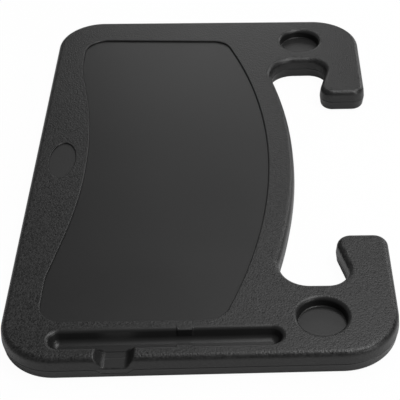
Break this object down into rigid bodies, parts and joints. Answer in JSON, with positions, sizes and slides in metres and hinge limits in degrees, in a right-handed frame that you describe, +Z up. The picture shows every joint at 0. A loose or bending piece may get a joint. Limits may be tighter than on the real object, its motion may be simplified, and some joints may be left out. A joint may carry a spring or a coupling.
{
  "type": "steering wheel tray",
  "caption": "Flat hooked tray that hangs on a steering wheel, with a smooth desk, cup wells, a pen groove and a finger notch.",
  "frame": {"origin": "middle of the tray's plan, on the underside that it rests on", "axes": "+X along the tray's length, towards the side with the pen groove; +Y towards the steering wheel, where the hooks are; +Z up"},
  "size_m": [0.4304, 0.2749, 0.0196],
  "materials": {
    "grained_plastic": "charcoal, fine stipple grain",
    "smooth_plastic": "charcoal, smooth satin",
    "lower_plastic": "charcoal, smooth matte",
    "screw_steel": "zinc-plated steel"
  },
  "bodies": {
    "root": {"top_shell": "grained_plastic", "bottom_shell": "lower_plastic", "desk_panel": "smooth_plastic", "badge_plate": "smooth_plastic", "screw_01": "screw_steel", "screw_02": "screw_steel", "screw_03": "screw_steel", "screw_04": "screw_steel", "screw_05": "screw_steel", "screw_06": "screw_steel", "screw_07": "screw_steel", "screw_08": "screw_steel", "screw_09": "screw_steel", "screw_10": "screw_steel", "screw_11": "screw_steel", "screw_12": "screw_steel", "screw_13": "screw_steel", "screw_14": "screw_steel", "screw_15": "screw_steel", "screw_16": "screw_steel"}
  },
  "joints": []
}
